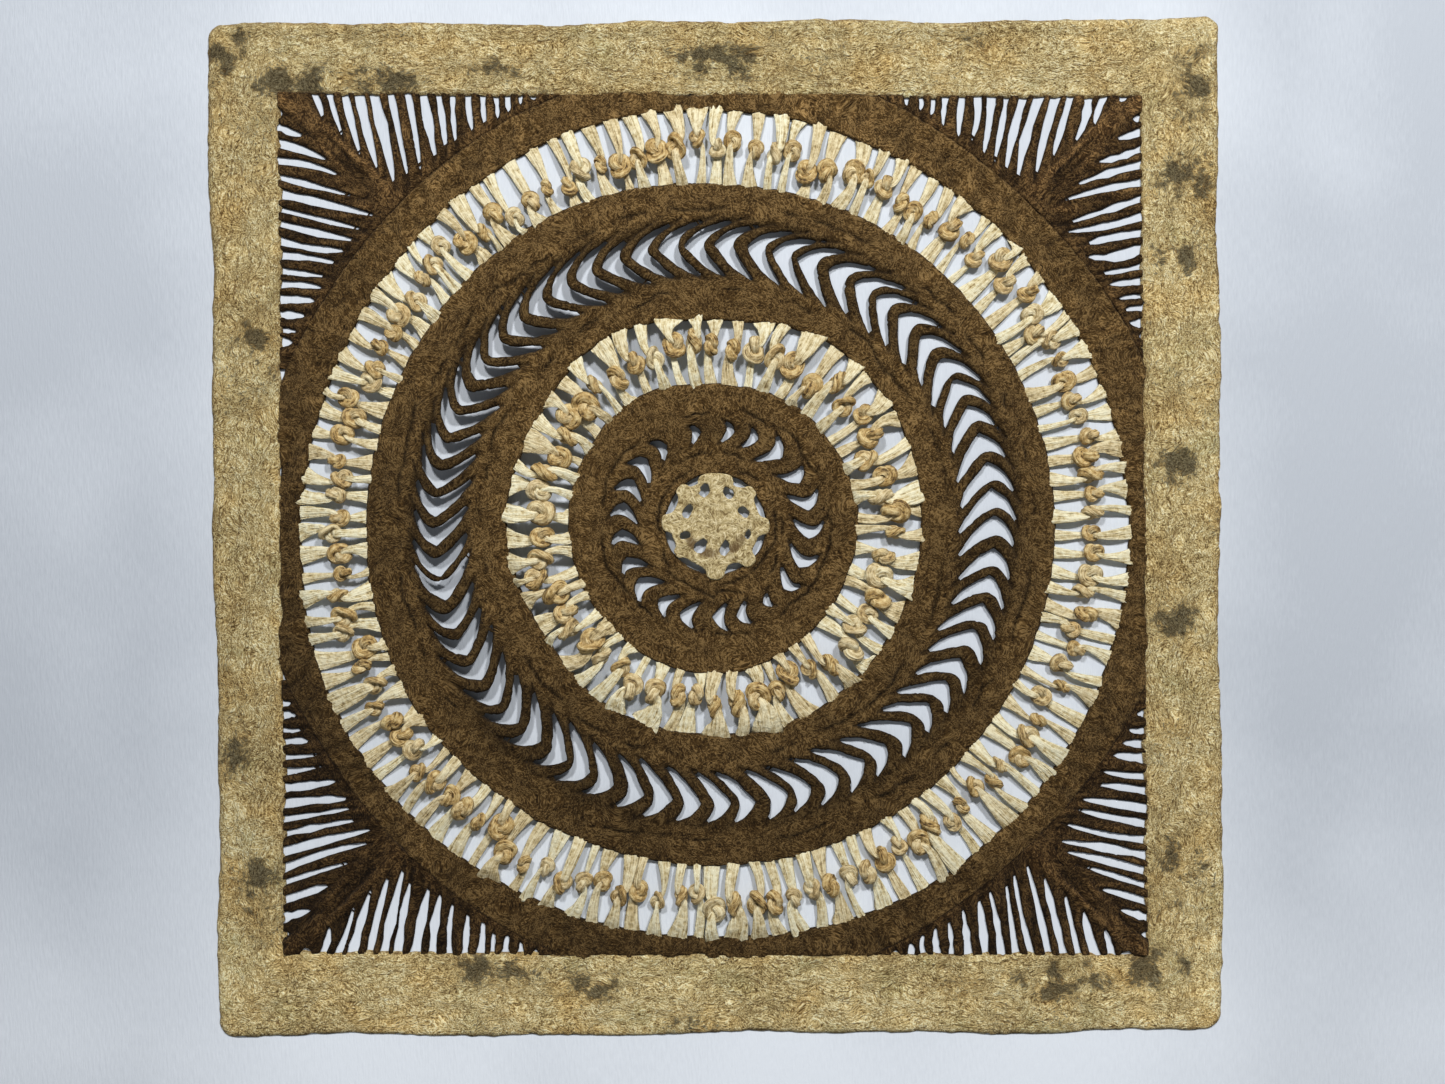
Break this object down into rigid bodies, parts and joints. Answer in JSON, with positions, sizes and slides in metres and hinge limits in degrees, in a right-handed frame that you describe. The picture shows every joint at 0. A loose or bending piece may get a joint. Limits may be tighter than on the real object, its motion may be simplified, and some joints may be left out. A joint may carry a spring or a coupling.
{
  "type": "amate bark paper panel",
  "caption": "Square openwork panel of beaten bark paper: tan border, corner sprays, and round brown rings joined by courses of knotted cream strips.",
  "frame": {"origin": "middle of the panel's back, on the surface that it lies on", "axes": "+Z out of the face, +Y towards the panel's top, +X to its right"},
  "size_m": [0.6026, 0.6054, 0.0128],
  "materials": {
    "tan_paper": "matt, felted, stained with bark",
    "brown_paper": "matt, felted, fibrous",
    "cream_strips": "soft sheen, long fibres",
    "rosette_paper": "matt, felted"
  },
  "bodies": {
    "root": {"border": "tan_paper", "outer_ring": "brown_paper", "spray_top_left": "brown_paper", "spray_top_right": "brown_paper", "spray_bottom_right": "brown_paper", "spray_bottom_left": "brown_paper", "outer_knotted_course": "cream_strips", "chevron_band": "brown_paper", "inner_knotted_course": "cream_strips", "centre_disc": "brown_paper", "rosette": "rosette_paper"}
  },
  "joints": []
}
